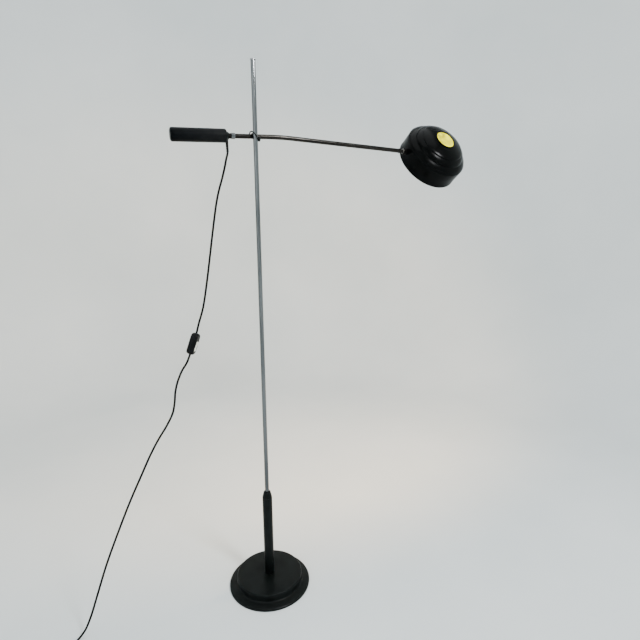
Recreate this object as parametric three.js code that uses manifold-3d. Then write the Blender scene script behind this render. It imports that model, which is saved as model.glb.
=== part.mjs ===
// Adjustable arm floor lamp: a stepped disc base, a chrome pole in a black socket, and an arm that a
// wire bail clamps across the pole, with a counterweight grip at one end and a stepped shade at the other.
// Units are millimetres, +Z is up, +X is the head's side, the origin is the base's centre on the floor.
import * as THREE from 'three';
import { mergeVertices } from 'three/addons/utils/BufferGeometryUtils.js';
import Module from 'manifold-3d';

const wasm = await Module();
wasm.setup();

// ---------- driving dimensions ----------
const GAP = 0.3; // left between pieces that touch
const BORE_PLAY = 0.3; // radial play of a shaft, screw or tube in its hole

const BASE_R = 130;
const BASE_STEP_R = 104.5;
const BASE_STEP_Z = 12.8;
const BASE_TOP = 35.5;
const BASE_WALL = 1.5;
const COVER_LIFT = 0.6; // the cover's lower edge above the floor
const FELT_H = 2;
const FELT_INSET = 4;
const RECESS_R = 20; // pocket under the weight for the washer and nut
const RECESS_TOP = 12.5;
const WASHER_R = 15;
const WASHER_H = 2;
const NUT_CORNER_R = 9.2;
const NUT_H = 7;
const STUD_R = 5;
const STUD_TOP = 48;

const SOCKET_R = 15.5;
const SOCKET_WALL = 2;
const SOCKET_TOP = 324;
const NOSE_H = 21;
const NOSE_TAIL = 12; // length of the nose inside the tube
const FOOT_SHELF = 50; // the pole stands on this step of its foot
const FOOT_TOP = 62;
const BUSH_LOW = 170;
const BUSH_HIGH = 182;

const POLE_R = 6.5;
const POLE_WALL = 1.2;
const POLE_TOP = 1590;
const CAP_H = 3;
const CAP_TAIL = 15;

const ARM_Z = 1396; // height of the arm's axis where it crosses the pole
const ARM_Y = 18; // the arm's axis lies this far behind the pole's axis
const ARM_R = 6.35;
const ARM_WALL = 1.2;
const ARM_RISE = 0.0428; // slope of the arm at the pole, rising to the head
const ARM_BEND_X = 80; // middle of the shallow bend
const ARM_BEND_ANGLE = 0.0778; // how far the arm turns down there
const ARM_BEND_R = 900;
const ARM_LENGTH = 490; // along the arm from the pole to the centre of the head's ball

const GRIP_R = 18;
const GRIP_END = -225;
const GRIP_MOUTH = -81;
const GRIP_WALL = 2;
const GRIP_FLOOR = 2.5;
const TUBE_START = -128; // the arm's tube reaches this far into the grip
const WEIGHT_SCREW_R = 2.5;
const WEIGHT_SCREW_X = -108;
const NECK_X = -71;
const COLLAR_START = -64;
const COLLAR_END = -52.5;
const COLLAR_R = 8;

const BAIL_R = 1.6;
const NUT_R = 4.3;
const BALL_R = 6.5;
const HEAD_TURN = 0.953; // roll of the shade about the arm, from pointing straight down
const HEAD_LEAN = 0.054; // lean of the shade along the arm
const SHADE_REACH = 118; // from the ball to the shade's axis
const BALL_ABOVE_RIM = 31;
const SHADE_WALL = 1.3;
const BULB_R = 22;

const LEAD_R = 3; // the mains lead
const CORE_LEAD_R = 2.2; // the thinner lead inside the arm
const EXIT_X = -76.6; // where the lead leaves the grip's shoulder, along the arm
const GLAND_R = 4.1;
const GLAND_DROP = 42; // the gland's lower end below the arm's axis

const SWITCH_TOP = [-186.5, 18, 852];
const SWITCH_LEAN = 0.346;
const SWITCH_YAW = -0.54;
const SWITCH_LENGTH = 63;
const SWITCH_WIDTH = 25;
const SWITCH_DEPTH = 21;

const COIL_CENTRE = [-578, -88];
const COIL_MEAN_R = 34;
const COIL_Z = 1.6;
const COIL_LAYERS = 2;
const COIL_COLUMNS = 3;
const PLUG_BACK = [-540, -131];

// ---------- materials ----------
const finish = (color, roughness, metalness) =>
  new THREE.MeshStandardMaterial({ color, roughness, metalness });
const chrome = () => finish(0xc9cdd0, 0.12, 1);
const steel = () => finish(0x8f9396, 0.35, 1);
const castIron = () => finish(0x3b3d3f, 0.7, 0.6);
const blackSatin = () => finish(0x17191b, 0.42, 0.2);
const blackGloss = () => finish(0x0e1010, 0.12, 0.1);
const darkTube = () => finish(0x1d1c1a, 0.3, 0.8);
const blackPlastic = () => finish(0x121314, 0.5, 0);
const blackRubber = () => finish(0x101010, 0.65, 0);
const creamPlastic = () => finish(0xe9e4d6, 0.4, 0);
const nylon = () => finish(0xe4e2da, 0.5, 0);
const felt = () => finish(0x1a1a1b, 0.95, 0);
const brass = () => finish(0xb58a3c, 0.3, 1);
const glowGlass = () => finish(0xf3efb8, 0.4, 0);
const bulbGlass = () => finish(0xf7f2dc, 0.35, 0);

// ---------- solid helpers ----------
function signedVolume(position, index) {
  let six = 0;
  const [a, b, c] = [new THREE.Vector3(), new THREE.Vector3(), new THREE.Vector3()];
  for (let i = 0; i < index.length; i += 3) {
    a.fromBufferAttribute(position, index[i]);
    b.fromBufferAttribute(position, index[i + 1]);
    c.fromBufferAttribute(position, index[i + 2]);
    six += a.dot(b.cross(c));
  }
  return six / 6;
}

// Merges shared corners, drops collapsed triangles and turns the faces outward.
function solid(geometry) {
  const bare = geometry.clone();
  bare.deleteAttribute('normal');
  bare.deleteAttribute('uv');
  const merged = mergeVertices(bare, 1e-4);
  const raw = merged.index.array;
  const kept = [];
  for (let i = 0; i < raw.length; i += 3) {
    const [p, q, r] = [raw[i], raw[i + 1], raw[i + 2]];
    if (p !== q && q !== r && r !== p) kept.push(p, q, r);
  }
  if (signedVolume(merged.attributes.position, kept) < 0) kept.reverse();
  const out = new THREE.BufferGeometry();
  out.setAttribute('position', merged.attributes.position);
  out.setIndex(kept);
  return out;
}

function toManifold(geometry) {
  const vertProperties = new Float32Array(geometry.attributes.position.array);
  const triVerts = new Uint32Array(geometry.index.array);
  return new wasm.Manifold(new wasm.Mesh({ numProp: 3, vertProperties, triVerts }));
}

function fromManifold(manifold) {
  const mesh = manifold.getMesh();
  const out = new THREE.BufferGeometry();
  out.setAttribute('position', new THREE.BufferAttribute(new Float32Array(mesh.vertProperties), 3));
  out.setIndex(Array.from(mesh.triVerts));
  return out;
}

function cut(body, ...tools) {
  const result = tools.reduce((left, tool) => left.subtract(toManifold(tool)), toManifold(body));
  return fromManifold(result);
}

// Points on a circular arc in a lathe profile, angles in degrees from the radius direction.
function arc(r, z, radius, from, to, steps) {
  return Array.from({ length: steps + 1 }, (_, i) => {
    const angle = THREE.MathUtils.degToRad(from + ((to - from) * i) / steps);
    return [r + radius * Math.cos(angle), z + radius * Math.sin(angle)];
  });
}

// A turned solid about +Z. A profile of [radius, z] that leaves the axis is closed on itself.
function turned(profile, segments = 20) {
  const onAxis = profile[0][0] === 0 && profile.at(-1)[0] === 0;
  const outline = onAxis ? profile : [...profile, profile[0]];
  const lathe = new THREE.LatheGeometry(outline.map(([r, z]) => new THREE.Vector2(r, z)), segments);
  return solid(lathe.rotateX(Math.PI / 2));
}

const alongX = (geometry) => geometry.rotateY(Math.PI / 2);
const turnedX = (profile, segments) => alongX(turned(profile, segments));

function rod(radius, low, high, segments = 14) {
  return turned([[0, low], [radius, low], [radius, high], [0, high]], segments);
}

function ring(outer, inner, low, high, segments = 20) {
  return turned([[outer, low], [outer, high], [inner, high], [inner, low]], segments);
}

function block(width, depth, height) {
  return solid(new THREE.BoxGeometry(width, depth, height));
}

function circlePoints(radius, sides) {
  return Array.from({ length: sides }, (_, i) => {
    const angle = (i / sides) * Math.PI * 2;
    return new THREE.Vector2(radius * Math.cos(angle), radius * Math.sin(angle));
  });
}

function tubeAlong(path, outer, inner, sides, steps) {
  const section = new THREE.Shape(circlePoints(outer, sides));
  if (inner > 0) section.holes.push(new THREE.Path(circlePoints(inner, sides)));
  return solid(new THREE.ExtrudeGeometry(section, { steps, bevelEnabled: false, extrudePath: path }));
}

function prism(outline, height, holeRadius = 0) {
  const section = new THREE.Shape(outline);
  if (holeRadius > 0) section.holes.push(new THREE.Path(circlePoints(holeRadius, 16)));
  return solid(new THREE.ExtrudeGeometry(section, { depth: height, bevelEnabled: false }));
}

function roundedRectangle(width, depth, radius, steps = 4) {
  const corners = [[1, 1, 0], [-1, 1, 90], [-1, -1, 180], [1, -1, 270]];
  return corners.flatMap(([sx, sy, start]) =>
    arc(sx * (width / 2 - radius), sy * (depth / 2 - radius), radius, start, start + 90, steps)
      .map(([x, y]) => new THREE.Vector2(x, y)));
}

function add(group, name, geometry, material) {
  const mesh = new THREE.Mesh(geometry, material);
  mesh.name = name;
  group.add(mesh);
  return mesh;
}

// ---------- the stand ----------
function buildStand() {
  const stand = new THREE.Group();
  const weightTop = BASE_TOP - BASE_WALL - GAP;

  add(stand, 'base_felt', rod(BASE_R - FELT_INSET, 0, FELT_H, 48), felt());

  const coverOut = [
    [BASE_R, COVER_LIFT],
    ...arc(BASE_R - 2, 5, 2, 0, 75, 2),
    [BASE_STEP_R + 4, BASE_STEP_Z - 1.2],
    [BASE_STEP_R + 1, BASE_STEP_Z - 0.1],
    [BASE_STEP_R, BASE_STEP_Z + 1.2],
    ...arc(BASE_STEP_R - 3, BASE_TOP - 3, 3, 0, 90, 3),
    [STUD_R + 1, BASE_TOP],
  ];
  const coverIn = [
    [STUD_R + 1, BASE_TOP - BASE_WALL],
    [BASE_STEP_R - 3, BASE_TOP - BASE_WALL],
    [BASE_STEP_R - BASE_WALL, BASE_TOP - 3.2],
    [BASE_STEP_R - BASE_WALL, BASE_STEP_Z - 1.2],
    [BASE_R - BASE_WALL - 0.8, 5],
    [BASE_R - BASE_WALL, COVER_LIFT],
  ];
  add(stand, 'base_cover', turned([...coverOut, ...coverIn], 44), blackSatin());

  const weight = turned([
    [STUD_R + BORE_PLAY, RECESS_TOP],
    [RECESS_R, RECESS_TOP],
    [RECESS_R, FELT_H + GAP],
    [BASE_R - BASE_WALL - 1.4, FELT_H + GAP],
    [BASE_R - BASE_WALL - 1.4, 4.3],
    [BASE_STEP_R - BASE_WALL - 0.5, BASE_STEP_Z - 2],
    [BASE_STEP_R - BASE_WALL - 0.5, weightTop - 3],
    [BASE_STEP_R - BASE_WALL - 3, weightTop],
    [STUD_R + BORE_PLAY, weightTop],
  ], 32);
  add(stand, 'base_weight', weight, castIron());

  const washerLow = RECESS_TOP - GAP - WASHER_H;
  add(stand, 'base_washer', ring(WASHER_R, STUD_R + BORE_PLAY, washerLow, RECESS_TOP - GAP), steel());
  const nut = prism(circlePoints(NUT_CORNER_R, 6), NUT_H, STUD_R + BORE_PLAY);
  add(stand, 'base_nut', nut.translate(0, 0, washerLow - GAP - NUT_H), steel());
  add(stand, 'base_stud', rod(STUD_R, FELT_H + 2 * GAP, STUD_TOP), steel());

  const tubeLow = BASE_TOP + GAP;
  const boreR = SOCKET_R - SOCKET_WALL;
  const foot = turned([
    [STUD_R + BORE_PLAY, tubeLow],
    [boreR - GAP, tubeLow],
    [boreR - GAP, FOOT_TOP],
    [POLE_R + BORE_PLAY, FOOT_TOP],
    [POLE_R + BORE_PLAY, FOOT_SHELF],
    [STUD_R + BORE_PLAY, FOOT_SHELF],
  ]);
  add(stand, 'pole_foot', foot, steel());

  const noseLow = SOCKET_TOP - NOSE_H;
  add(stand, 'socket_tube', ring(SOCKET_R, boreR, tubeLow, noseLow, 32), blackSatin());
  add(stand, 'socket_bush', ring(boreR - GAP, POLE_R + BORE_PLAY, BUSH_LOW, BUSH_HIGH), nylon());
  const nose = turned([
    [POLE_R + BORE_PLAY, noseLow - NOSE_TAIL],
    [boreR - GAP, noseLow - NOSE_TAIL],
    [boreR - GAP, noseLow + GAP],
    [SOCKET_R, noseLow + GAP],
    [SOCKET_R, noseLow + 2],
    [10.8, SOCKET_TOP - 1],
    [10.2, SOCKET_TOP],
    [POLE_R + BORE_PLAY, SOCKET_TOP],
  ], 28);
  add(stand, 'socket_nose', nose, blackSatin());

  const pole = ring(POLE_R, POLE_R - POLE_WALL, FOOT_SHELF + GAP, POLE_TOP - CAP_H - GAP, 32);
  add(stand, 'pole', pole, chrome());
  const cap = turned([
    [0, POLE_TOP - CAP_TAIL],
    [POLE_R - POLE_WALL - GAP, POLE_TOP - CAP_TAIL],
    [POLE_R - POLE_WALL - GAP, POLE_TOP - CAP_H],
    [POLE_R + 1.3, POLE_TOP - CAP_H],
    [POLE_R + 1.3, POLE_TOP - 0.8],
    [POLE_R + 0.5, POLE_TOP],
    [0, POLE_TOP],
  ]);
  add(stand, 'pole_cap', cap, steel());
  return stand;
}

// ---------- the clamp's half that slides on the pole ----------
const SHOE_FACE = 9; // the two shoes meet this far behind the pole's axis
const POLE_SHOE = [12.6, 4, 14];
const ARM_SHOE = [14, 6, 14];
const PIN_R = 1.8;

function buildCarriage() {
  const carriage = new THREE.Group();
  carriage.position.set(0, 0, ARM_Z);
  const shoe = block(...POLE_SHOE).translate(0, SHOE_FACE - (POLE_SHOE[1] + GAP) / 2, 0);
  const poleSpace = rod(POLE_R + BORE_PLAY, -10, 10, 32);
  const pinHole = rod(PIN_R + BORE_PLAY, 7.2, 12).rotateX(-Math.PI / 2);
  add(carriage, 'pole_shoe', cut(shoe, poleSpace, pinHole), blackPlastic());
  add(carriage, 'pivot_pin', rod(PIN_R, 7.5, 10.9).rotateX(-Math.PI / 2), steel());
  return carriage;
}

// ---------- the arm ----------
// The arm's axis in its own frame: straight through the clamp, a shallow bend, then straight to the head.
const BEND_HALF = (ARM_BEND_R * ARM_BEND_ANGLE) / 2;
const BEND_START = ARM_BEND_X - BEND_HALF;

function armPoint(distance) {
  const turn = THREE.MathUtils.clamp((distance - BEND_START) / ARM_BEND_R, 0, ARM_BEND_ANGLE);
  const before = Math.min(distance, BEND_START);
  const after = Math.max(distance - BEND_START - ARM_BEND_R * ARM_BEND_ANGLE, 0);
  const x = before + ARM_BEND_R * Math.sin(turn) + after * Math.cos(turn);
  const z = -ARM_BEND_R * (1 - Math.cos(turn)) - after * Math.sin(turn);
  return new THREE.Vector3(x, 0, z);
}

class ArmAxis extends THREE.Curve {
  constructor(from, to) {
    super();
    this.from = from;
    this.to = to;
  }

  getPoint(t, target = new THREE.Vector3()) {
    return target.copy(armPoint(THREE.MathUtils.lerp(this.from, this.to, t)));
  }
}

function buildGrip(arm) {
  const shell = turnedX([
    [0, GRIP_END],
    ...arc(GRIP_R - 3.5, GRIP_END + 3.5, 3.5, -90, 0, 3),
    [GRIP_R, GRIP_MOUTH - GAP],
    [GRIP_R - GRIP_WALL, GRIP_MOUTH - GAP],
    [GRIP_R - GRIP_WALL, GRIP_END + GRIP_FLOOR],
    [0, GRIP_END + GRIP_FLOOR],
  ], 32);
  add(arm, 'grip_shell', shell, blackSatin());

  const tubeBore = ARM_R + BORE_PLAY;
  const coreR = GRIP_R - GRIP_WALL - GAP;
  const coreStart = GRIP_END + GRIP_FLOOR + GAP;
  const screwHole = rod(WEIGHT_SCREW_R + BORE_PLAY, ARM_R, GRIP_R).translate(WEIGHT_SCREW_X, 0, 0);
  const core = turnedX([
    [0, coreStart],
    [coreR, coreStart],
    [coreR, GRIP_MOUTH - 10],
    [tubeBore, GRIP_MOUTH - 10],
    [tubeBore, TUBE_START - 2],
    [0, TUBE_START - 2],
  ]);
  add(arm, 'weight_core', cut(core, screwHole), steel());
  const screw = rod(WEIGHT_SCREW_R, tubeBore, coreR - 0.5, 12).translate(WEIGHT_SCREW_X, 0, 0);
  add(arm, 'weight_screw', screw, steel());

  const shoulder = turnedX([
    [tubeBore, GRIP_MOUTH - 9.5],
    [coreR, GRIP_MOUTH - 9.5],
    [coreR, GRIP_MOUTH],
    [GRIP_R, GRIP_MOUTH],
    [GRIP_R - 1, GRIP_MOUTH + 2.6],
    [10.6, NECK_X - 3.6],
    [10, NECK_X],
    [tubeBore, NECK_X],
  ], 32);
  const glandHole = rod(GLAND_R + BORE_PLAY, -30, 0).translate(EXIT_X, 0, 0);
  add(arm, 'grip_shoulder', cut(shoulder, glandHole), blackSatin());
  const neckRing = ring(7.5, tubeBore, NECK_X + GAP, COLLAR_START - GAP);
  add(arm, 'neck_ring', alongX(neckRing), chrome());

  const teeth = 20;
  const knurl = Array.from({ length: teeth * 2 }, (_, i) => {
    const angle = (i / (teeth * 2)) * Math.PI * 2;
    const radius = i % 2 ? COLLAR_R : COLLAR_R - 0.6;
    return new THREE.Vector2(radius * Math.cos(angle), radius * Math.sin(angle));
  });
  const collar = prism(knurl, COLLAR_END - COLLAR_START, tubeBore);
  add(arm, 'knurled_collar', alongX(collar).translate(COLLAR_START, 0, 0), chrome());

  const gland = turned([
    [0, -GLAND_DROP],
    [3.6, -GLAND_DROP],
    [GLAND_R, -GLAND_DROP + 22],
    [GLAND_R, -8.4],
    [CORE_LEAD_R, -8.2],
    [CORE_LEAD_R, -2.9],
    [0, -2.9],
  ]);
  add(arm, 'cord_gland', gland.translate(EXIT_X, 0, 0), blackRubber());
}

function buildBail(arm) {
  // The wire starts beside the shoe, loops up as an eye, crosses the pole's front and hooks under the arm.
  const route = [
    [-10.2, -8.6, -2.5], [-13.4, -10.8, 0.8], [-15.2, -16.5, 4.4], [-14.8, -22.8, 7.4],
    [-11.8, -26.9, 8], [-7.2, -27.2, 5.4], [-2.2, -26.8, 0.8], [3.2, -26.8, -5], [9.8, -25.6, -8.4],
    [14, -19.2, -8.8], [14.2, -11.8, -9], [12.8, -6, -9.6], [11.2, 0.2, -9.2], [10, 6.2, -6.6],
    [9.4, 8.4, -1.5],
  ].map((point) => new THREE.Vector3(...point));
  const wirePath = new THREE.CatmullRomCurve3(route, false, 'centripetal');
  add(arm, 'bail_wire', tubeAlong(wirePath, BAIL_R, 0, 8, 40), blackSatin());

  const ball = solid(new THREE.SphereGeometry(NUT_R, 12, 8)).translate(12.9, -6.2, -10);
  const wireSpace = tubeAlong(wirePath, BAIL_R + GAP, 0, 8, 40);
  add(arm, 'bail_nut', cut(ball, wireSpace), blackSatin());

  const shoe = block(...ARM_SHOE).translate(0, SHOE_FACE + (ARM_SHOE[1] + GAP) / 2 - ARM_Y, 0);
  const armSpace = rod(ARM_R + BORE_PLAY, -12, 12, 24).rotateY(Math.PI / 2);
  const pinHole = rod(PIN_R + BORE_PLAY, -10, -6).rotateX(-Math.PI / 2);
  add(arm, 'arm_shoe', cut(shoe, armSpace, pinHole), blackPlastic());
}

// Puts a piece made about the head's ball, with +X leading away from the arm, at the arm's end.
function atArmEnd(geometry) {
  const end = armPoint(ARM_LENGTH);
  return geometry.rotateY(ARM_BEND_ANGLE).translate(end.x, end.y, end.z);
}

const TUBE_STOP = 17; // the tube ends this far short of the ball's centre
const STEM_R = 4;
const WIRE_BORE = CORE_LEAD_R + 0.5;

function buildArm() {
  const arm = new THREE.Group();
  arm.position.set(0, ARM_Y, ARM_Z);
  arm.rotation.y = -ARM_RISE;

  const inner = ARM_R - ARM_WALL;
  const tube = tubeAlong(new ArmAxis(TUBE_START, ARM_LENGTH - TUBE_STOP), ARM_R, inner, 18, 14);
  const leadHole = rod(CORE_LEAD_R + BORE_PLAY, -10, 0).translate(EXIT_X, 0, 0);
  add(arm, 'arm_tube', cut(tube, leadHole), darkTube());
  const core = tubeAlong(new ArmAxis(EXIT_X - 3, ARM_LENGTH - 3), CORE_LEAD_R, 0, 8, 14);
  add(arm, 'arm_lead', core, blackRubber());

  buildGrip(arm);
  buildBail(arm);

  const ferrule = turnedX([
    [WIRE_BORE, -TUBE_STOP - 12],
    [inner - GAP, -TUBE_STOP - 12],
    [inner - GAP, -TUBE_STOP + GAP],
    [ARM_R + 1, -TUBE_STOP + GAP],
    [ARM_R + 1, -10.5],
    [ARM_R, -9.2],
    [STEM_R + BORE_PLAY, -9.2],
    [STEM_R + BORE_PLAY, -14.5],
    [WIRE_BORE, -14.5],
  ]);
  add(arm, 'end_ferrule', atArmEnd(ferrule), chrome());

  const stemAngle = THREE.MathUtils.radToDeg(Math.asin(STEM_R / BALL_R));
  const boreAngle = THREE.MathUtils.radToDeg(Math.asin(WIRE_BORE / BALL_R));
  const ball = turnedX([
    [WIRE_BORE, -14.2],
    [STEM_R, -14.2],
    ...arc(0, 0, BALL_R, -90 + stemAngle, 90 - boreAngle, 5),
  ]);
  add(arm, 'joint_ball', atArmEnd(ball), chrome());
  return arm;
}

// ---------- the head ----------
// The head's frame sits at the ball: +X leads away from the arm and +Z points out of the shade's top.
function headFrame() {
  const arm = new THREE.Group();
  arm.position.set(0, ARM_Y, ARM_Z);
  arm.rotation.y = -ARM_RISE;
  const end = new THREE.Group();
  end.position.copy(armPoint(ARM_LENGTH));
  end.rotation.y = ARM_BEND_ANGLE;
  const roll = new THREE.Group();
  roll.rotation.x = HEAD_TURN;
  arm.add(end);
  end.add(roll);
  return [arm, roll];
}

const LINER = [BALL_R + GAP, BALL_R + 1.1];
const CUP = [BALL_R + 1.4, BALL_R + 3.1];
const LIP_X = -2.6;

function cupAngle(radius) {
  return THREE.MathUtils.radToDeg(Math.asin(LIP_X / radius));
}

function buildLiner(roll) {
  const [inner, outer] = LINER;
  const liner = turnedX([
    ...arc(0, 0, outer, cupAngle(outer) + 3, 62, 6),
    ...arc(0, 0, inner, 60, cupAngle(inner) + 6, 6),
  ]);
  add(roll, 'joint_liner', liner, nylon());
}

const SHADE_OUTLINE = [
  [105.6, 0], [106.5, 1.4], [105.8, 3], [106, 55], [104.9, 57.8], [103.2, 58.8], [102.8, 60.3],
  [88.6, 72], [87.9, 73.8], [79.6, 83.8], [73.6, 87.5], [72.8, 89.4], [60, 95.4], [46, 99.8],
  [32.8, 102.4],
];

function shadeOffset(outline, thickness) {
  return outline.map(([r, z], i) => {
    const [r0, z0] = outline[Math.max(i - 1, 0)];
    const [r1, z1] = outline[Math.min(i + 1, outline.length - 1)];
    const length = Math.hypot(r1 - r0, z1 - z0);
    return [r - ((z1 - z0) / length) * thickness, z + ((r1 - r0) / length) * thickness];
  });
}

function buildShade() {
  const shade = new THREE.Group();
  shade.rotation.y = HEAD_LEAN;
  const toAxis = (geometry) => geometry.translate(SHADE_REACH, 0, -BALL_ABOVE_RIM);
  const studR = 3.9;

  const wall = turned([
    ...SHADE_OUTLINE,
    ...shadeOffset(SHADE_OUTLINE, SHADE_WALL).slice(3).reverse(),
    [104.3, 0.3],
  ], 40);
  const studHole = rod(studR + BORE_PLAY, 8, 20).rotateY(Math.PI / 2);
  add(shade, 'shade_shell', cut(toAxis(wall), studHole), blackGloss());

  const ventRing = turned([
    [29.6, 98.6], [32.3, 98.6], [32.3, 103], [34.8, 103], [34.8, 103.8], [33.9, 104.6],
    [31, 104.6], [31, 100.6], [29.6, 100.6],
  ], 32);
  add(shade, 'vent_ring', toAxis(ventRing), blackGloss());
  add(shade, 'vent_glass', toAxis(rod(30.6, 100.9, 103.8, 32)), glowGlass());

  const wallX = SHADE_REACH - 106;
  const [cupIn, cupOut] = CUP;
  const neckAngle = THREE.MathUtils.radToDeg(Math.acos(5.4 / cupOut));
  const boreAngle = THREE.MathUtils.radToDeg(Math.acos(WIRE_BORE / cupIn));
  const cup = turnedX([
    ...arc(0, 0, cupOut, cupAngle(cupOut), neckAngle, 6),
    [5.4, 9],
    [9, 9.2],
    [9, wallX - 0.5],
    [studR, wallX - 0.5],
    [studR, wallX + 5.9],
    [WIRE_BORE, wallX + 5.9],
    ...arc(0, 0, cupIn, boreAngle, cupAngle(cupIn), 6),
  ]);
  add(shade, 'joint_socket', cup, darkTube());

  const nutLow = wallX + SHADE_WALL + 0.7;
  const socketNut = alongX(prism(circlePoints(7, 6), 4, studR + BORE_PLAY)).translate(nutLow, 0, 0);
  add(shade, 'socket_nut', socketNut, steel());

  const holderLow = nutLow + 4 + GAP;
  const holderHigh = holderLow + 30;
  const holder = turnedX([
    [WIRE_BORE, holderLow], [10, holderLow], [13.5, holderLow + 4], [13.5, holderHigh],
    [9.2, holderHigh], [9.2, holderLow + 9], [WIRE_BORE, holderLow + 9],
  ]);
  add(shade, 'lampholder', holder, blackPlastic());
  const skirt = ring(16, 13.5 + BORE_PLAY, holderLow + 14, holderLow + 22);
  add(shade, 'holder_ring', alongX(skirt), blackPlastic());
  add(shade, 'holder_lead', turnedX([
    [0, 10.2], [CORE_LEAD_R, 10.2], [CORE_LEAD_R, holderLow + 8.5], [0, holderLow + 8.5],
  ], 8), blackRubber());

  const bulbCap = turnedX([
    [0, holderLow + 9.5],
    [2.5, holderLow + 9.5],
    [6.8, holderLow + 12],
    [6.8, holderHigh],
    [0, holderHigh],
  ], 20);
  add(shade, 'bulb_cap', bulbCap, steel());
  const neckStart = holderHigh + GAP;
  const globeX = neckStart + 30;
  const bulb = turnedX([
    [0, neckStart],
    [8.4, neckStart],
    [9.5, neckStart + 3],
    ...arc(0, globeX, BULB_R, -60, 90, 8).slice(0, -1),
    [0, globeX + BULB_R],
  ], 24);
  add(shade, 'bulb_glass', bulb, bulbGlass());
  return shade;
}

// ---------- the mains lead ----------
const vectors = (points) => points.map((point) => new THREE.Vector3(...point));

function glandEnd() {
  const end = new THREE.Vector3(EXIT_X, 0, -GLAND_DROP - 3 * GAP);
  end.applyAxisAngle(new THREE.Vector3(0, 1, 0), -ARM_RISE);
  return end.add(new THREE.Vector3(0, ARM_Y, ARM_Z));
}

const UPPER_ROUTE = [
  [-80, 18, 1330], [-84.8, 18, 1310], [-93, 18, 1281], [-103, 18, 1250], [-112, 18, 1215],
  [-124, 18, 1150], [-137, 18, 1072], [-151, 18, 990], [-165, 18, 922], [-178, 18, 882],
];
const LOWER_ROUTE = [
  [-219, 18, 768], [-233, 18, 747], [-246, 18, 719], [-255, 18, 688], [-259.5, 18, 655],
  [-267, 17, 624], [-287, 15, 588], [-310, 13, 555], [-334, 11, 515], [-366, 9, 452], [-400, 8, 383],
  [-438, 8, 297], [-476, 8, 205], [-507, 8, 118], [-531, 7, 52], [-549, 3, 18], [-570, -11, 5],
  [-589, -28, 3.8], [-603, -46, 4.8],
];

// The switch lies on the lead: its local +Z runs up the lead and +X is the rocker's side.
function switchFrame() {
  const lean = new THREE.Group();
  lean.position.set(...SWITCH_TOP);
  lean.rotation.y = SWITCH_LEAN;
  const body = new THREE.Group();
  body.position.z = -SWITCH_LENGTH / 2;
  body.rotation.z = SWITCH_YAW;
  lean.add(body);
  return [lean, body];
}

function switchEnd(distance) {
  const down = new THREE.Vector3(-Math.sin(SWITCH_LEAN), 0, -Math.cos(SWITCH_LEAN));
  return new THREE.Vector3(...SWITCH_TOP).addScaledVector(down, distance);
}

const ROCKER_TILT = 0.13;
const ROCKER_PIVOT_X = 8;
const ROCKER_SHIFT = 5; // the rocker sits this far below the switch's middle
const ROCKER_HALF = 14;
const ROCKER_WIDTH = 12;
const ROCKER_LOW = -1.5; // the rocker's underside, its raised ends and its waist, from its pivot
const ROCKER_ENDS = 4.6;
const ROCKER_WAIST = 3;

function buildSwitch(body) {
  const split = -1.5; // the cover meets the base this far from the lead's axis
  const halfDepth = SWITCH_DEPTH / 2;
  const outline = roundedRectangle(SWITCH_LENGTH, SWITCH_WIDTH, 10);
  const shell = (low, high) => prism(outline, high - low).translate(0, 0, low);
  const upright = (geometry) => geometry.rotateY(Math.PI / 2);
  const cavity = (low, high) => prism(roundedRectangle(40, 20, 3), high - low).translate(0, 0, low);
  const window = block(2 * ROCKER_HALF + 1.6, ROCKER_WIDTH + 0.8, 20).translate(ROCKER_SHIFT, 0, halfDepth);
  const screwAt = [-25, 25];
  const screwHole = (x, low, high) => rod(2 + BORE_PLAY, low, high, 12).translate(x, 0, 0);

  const cover = cut(shell(split + GAP, halfDepth), cavity(split - 1, halfDepth - 2), window);
  add(body, 'switch_cover', upright(cover), blackPlastic());
  const base = cut(
    shell(-halfDepth, split),
    cavity(-halfDepth + 2, split + 1),
    ...screwAt.map((x) => screwHole(x, -halfDepth - 1, split - 2)),
  );
  add(body, 'switch_base', upright(base), blackPlastic());
  add(body, 'switch_contacts', block(5, 14, 30).translate(-4, 0, 0), brass());
  screwAt.forEach((x, i) => {
    const screw = rod(2, -halfDepth, split - 2.3, 12).translate(x, 0, 0);
    add(body, `switch_screw_${i + 1}`, upright(screw), steel());
  });

  const rockerOutline = [
    new THREE.Vector2(-ROCKER_HALF, ROCKER_LOW),
    new THREE.Vector2(ROCKER_HALF, ROCKER_LOW),
    new THREE.Vector2(ROCKER_HALF, ROCKER_ENDS),
    new THREE.Vector2(0, ROCKER_WAIST),
    new THREE.Vector2(-ROCKER_HALF, ROCKER_ENDS),
  ];
  const rocker = prism(rockerOutline, ROCKER_WIDTH).translate(0, 0, -ROCKER_WIDTH / 2).rotateX(Math.PI / 2);
  const rockerInPlace = upright(rocker.rotateY(ROCKER_TILT)).translate(ROCKER_PIVOT_X, 0, -ROCKER_SHIFT);
  add(body, 'switch_rocker', rockerInPlace, creamPlastic());
}

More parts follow.
